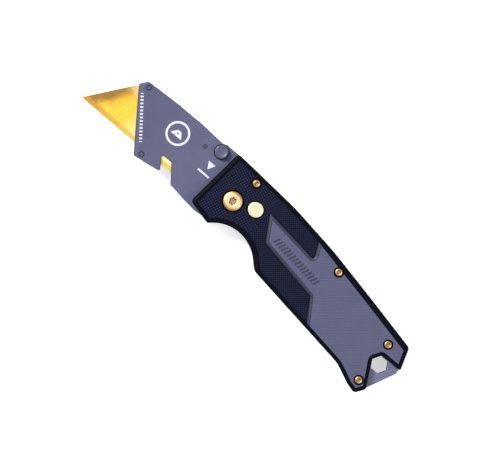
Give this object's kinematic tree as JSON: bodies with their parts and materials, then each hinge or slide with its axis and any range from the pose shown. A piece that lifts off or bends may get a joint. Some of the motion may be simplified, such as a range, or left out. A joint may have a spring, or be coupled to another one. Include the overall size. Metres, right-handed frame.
{
  "type": "utility knife",
  "caption": "Folding utility knife: trapezoid blade in a quick-change holder with strap notch, button lock, black and grey handle with gold screws and a hex hole in the butt.",
  "frame": {"origin": "middle of the open knife's bounding box in plan, on the plane that its rear face lies on", "axes": "+X from the blade tip to the butt, +Y from the cutting edge to the spine, +Z out of the front face; the fold pivot runs along Z"},
  "size_m": [0.174, 0.0442, 0.014],
  "materials": {
    "scale_black": "satin black moulded nylon",
    "grip_navy": "fine diamond texture",
    "inlay_grey": "satin with a faint diagonal texture",
    "liner_steel": "brushed",
    "spacer_dark": "satin black",
    "stop_steel": "turned",
    "pivot_gold": "gold nitride coated",
    "screw_gold": "gold nitride coated",
    "washer_bronze": "phosphor bronze",
    "spring_steel": "ground spring steel",
    "button_gold": "polished gold nitride",
    "holder_steel": "grey satin oxide coating",
    "rivet_steel": "grey oxide coating",
    "stud_steel": "grey satin oxide coating",
    "lever_steel": "stamped",
    "blade_gold": "gold titanium nitride, ground edge"
  },
  "bodies": {
    "handle": {"front_scale": "scale_black", "rear_scale": "scale_black", "front_grip": "grip_navy", "rear_grip": "grip_navy", "front_inlay": "inlay_grey", "rear_inlay": "inlay_grey", "front_liner": "liner_steel", "rear_liner": "liner_steel", "back_spacer": "spacer_dark", "stop_pin": "stop_steel", "pivot_screw": "pivot_gold", "pivot_barrel": "pivot_gold", "front_washer": "washer_bronze", "rear_washer": "washer_bronze", "front_screws": "screw_gold", "rear_screws": "screw_gold", "lock_leaf": "spring_steel", "leaf_rivets": "spring_steel"},
    "lock_button": {"lock_button": "button_gold"},
    "blade_holder": {"holder_front_plate": "holder_steel", "holder_rear_plate": "holder_steel", "tang_core": "holder_steel", "nose_spacers": "holder_steel", "holder_rivets": "rivet_steel", "lever_pin": "rivet_steel", "blade": "blade_gold", "lever_spring": "spring_steel"},
    "release_lever": {"release_lever": "lever_steel", "release_stud": "stud_steel"}
  },
  "joints": [
    {"name": "holder_fold", "type": "hinge", "parent": "handle", "child": "blade_holder", "pos_m": [-0.01105, 0.00566, 0.00681], "axis": [0, 0, 1], "range_deg": [0, 175], "deforming": ["lock_leaf"]},
    {"name": "lock_button_press", "type": "slide", "parent": "handle", "child": "lock_button", "axis": [0, 0, -1], "range_m": [0, 0.001], "stiffness_N_per_m": 900},
    {"name": "lever_press", "type": "hinge", "parent": "blade_holder", "child": "release_lever", "pos_m": [-0.03455, 0.01551, 0.00681], "axis": [0, 0, -1], "range_deg": [0, 7], "stiffness_Nm_per_rad": 0.05, "deforming": ["lever_spring"]}
  ]
}
